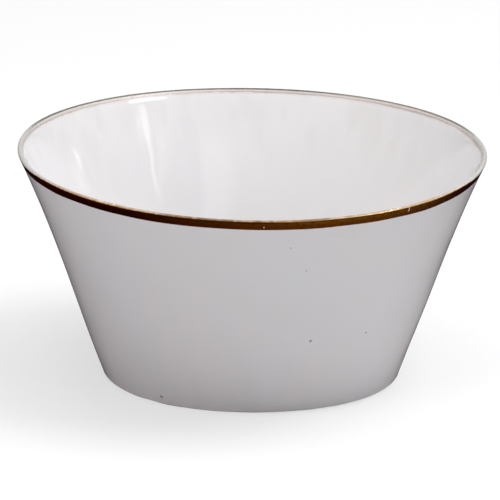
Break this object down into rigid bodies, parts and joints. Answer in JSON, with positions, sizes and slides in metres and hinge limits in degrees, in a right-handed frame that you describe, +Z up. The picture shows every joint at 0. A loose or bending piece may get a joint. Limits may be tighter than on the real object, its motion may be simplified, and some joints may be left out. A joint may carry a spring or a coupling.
{
  "type": "serving bowl",
  "caption": "Wide, deep round serving bowl: thin flaring wall, turned foot ring, glossy white glaze inside and out, and a painted gold band over the lip.",
  "frame": {"origin": "centre of the foot ring's contact face, on the surface the bowl stands on", "axes": "+Z up along the bowl's axis; X and Y are level and alike, because the bowl is round"},
  "size_m": [0.25, 0.25, 0.1222],
  "materials": {
    "bare_clay": "matte",
    "inner_glaze": "gloss",
    "outer_glaze": "gloss",
    "fired_gold": "gloss"
  },
  "bodies": {
    "root": {"clay_body": "bare_clay", "inner_glaze": "inner_glaze", "outer_glaze": "outer_glaze", "base_glaze": "outer_glaze", "gold_band": "fired_gold"}
  },
  "joints": []
}
